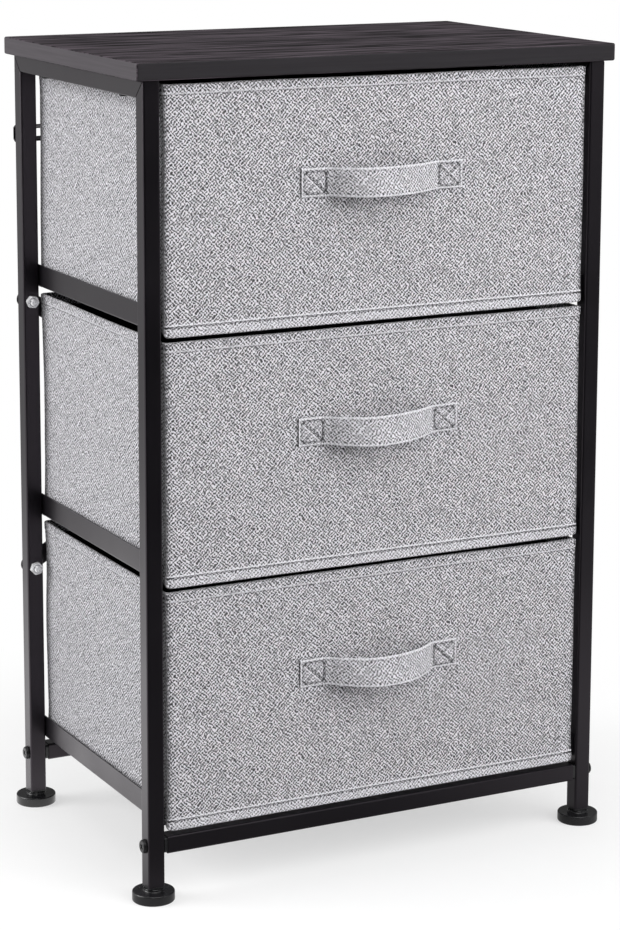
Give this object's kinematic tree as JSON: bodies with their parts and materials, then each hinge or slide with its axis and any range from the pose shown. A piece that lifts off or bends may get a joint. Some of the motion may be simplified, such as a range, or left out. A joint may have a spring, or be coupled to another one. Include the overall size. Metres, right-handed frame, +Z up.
{
  "type": "fabric drawer dresser",
  "caption": "Slim chest with fabric drawers sliding on ledge rails in a bolted black tube frame, with a dark wood-look top, a back brace and levelling feet.",
  "frame": {"origin": "on the floor, midway across the width and midway between the fronts of the handles and the rims of the back feet", "axes": "+X to the right of someone facing the drawers, +Y to the back, +Z up"},
  "size_m": [0.456, 0.3194, 0.703],
  "materials": {
    "frame_steel": "black powder coat, satin",
    "board_laminate": "dark charcoal oak-look laminate, matt",
    "grey_fabric": "light grey and charcoal herringbone twill",
    "black_lining": "black non-woven lining",
    "fibreboard": "raw fibreboard",
    "zinc_steel": "bright zinc plate",
    "black_screw": "black oxide, semi-gloss",
    "black_plastic": "moulded black plastic, fine grain"
  },
  "bodies": {
    "frame": {"top_board": "board_laminate", "front_leg_left": "frame_steel", "rear_leg_left": "frame_steel", "top_rail_left": "frame_steel", "ledge_rail_lower_left": "frame_steel", "ledge_rail_middle_left": "frame_steel", "ledge_rail_upper_left": "frame_steel", "front_leg_right": "frame_steel", "rear_leg_right": "frame_steel", "top_rail_right": "frame_steel", "ledge_rail_lower_right": "frame_steel", "ledge_rail_middle_right": "frame_steel", "ledge_rail_upper_right": "frame_steel", "front_cross_bar": "frame_steel", "bar_plug_front_left": "black_plastic", "bar_bolt_front_left": "black_screw", "board_screw_front_left": "black_screw", "leg_plug_front_left": "black_plastic", "bar_plug_front_right": "black_plastic", "bar_bolt_front_right": "black_screw", "board_screw_front_right": "black_screw", "leg_plug_front_right": "black_plastic", "rear_cross_bar": "frame_steel", "bar_plug_rear_left": "black_plastic", "bar_bolt_rear_left": "black_screw", "board_screw_rear_left": "black_screw", "leg_plug_rear_left": "black_plastic", "bar_plug_rear_right": "black_plastic", "bar_bolt_rear_right": "black_screw", "board_screw_rear_right": "black_screw", "leg_plug_rear_right": "black_plastic", "brace_strip_rising": "frame_steel", "brace_strip_falling": "frame_steel", "brace_rivet": "zinc_steel", "brace_bolt_lower_left": "zinc_steel", "brace_nut_lower_left": "zinc_steel", "brace_bolt_lower_right": "zinc_steel", "brace_nut_lower_right": "zinc_steel", "brace_bolt_upper_left": "zinc_steel", "brace_nut_upper_left": "zinc_steel", "brace_bolt_upper_right": "zinc_steel", "brace_nut_upper_right": "zinc_steel", "wall_bracket_left": "frame_steel", "wall_bracket_right": "frame_steel"},
    "drawer_lower": {"drawer_lower_fabric_body": "grey_fabric", "drawer_lower_front_board": "fibreboard", "drawer_lower_base_board": "black_lining", "drawer_lower_handle": "grey_fabric"},
    "drawer_middle": {"drawer_middle_fabric_body": "grey_fabric", "drawer_middle_front_board": "fibreboard", "drawer_middle_base_board": "black_lining", "drawer_middle_handle": "grey_fabric"},
    "drawer_upper": {"drawer_upper_fabric_body": "grey_fabric", "drawer_upper_front_board": "fibreboard", "drawer_upper_base_board": "black_lining", "drawer_upper_handle": "grey_fabric"},
    "foot_front_left": {"levelling_foot_front_left": "black_plastic"},
    "foot_front_right": {"levelling_foot_front_right": "black_plastic"},
    "foot_rear_left": {"levelling_foot_rear_left": "black_plastic"},
    "foot_rear_right": {"levelling_foot_rear_right": "black_plastic"}
  },
  "joints": [
    {"name": "drawer_lower_slide", "type": "slide", "parent": "frame", "child": "drawer_lower", "axis": [0, -1, 0], "range_m": [0, 0.18]},
    {"name": "drawer_middle_slide", "type": "slide", "parent": "frame", "child": "drawer_middle", "axis": [0, -1, 0], "range_m": [0, 0.18]},
    {"name": "drawer_upper_slide", "type": "slide", "parent": "frame", "child": "drawer_upper", "axis": [0, -1, 0], "range_m": [0, 0.18]},
    {"name": "foot_front_left_screw", "type": "slide", "parent": "frame", "child": "foot_front_left", "axis": [0, 0, -1], "range_m": [0, 0.008]},
    {"name": "foot_front_right_screw", "type": "slide", "parent": "frame", "child": "foot_front_right", "axis": [0, 0, -1], "range_m": [0, 0.008]},
    {"name": "foot_rear_left_screw", "type": "slide", "parent": "frame", "child": "foot_rear_left", "axis": [0, 0, -1], "range_m": [0, 0.008]},
    {"name": "foot_rear_right_screw", "type": "slide", "parent": "frame", "child": "foot_rear_right", "axis": [0, 0, -1], "range_m": [0, 0.008]}
  ]
}
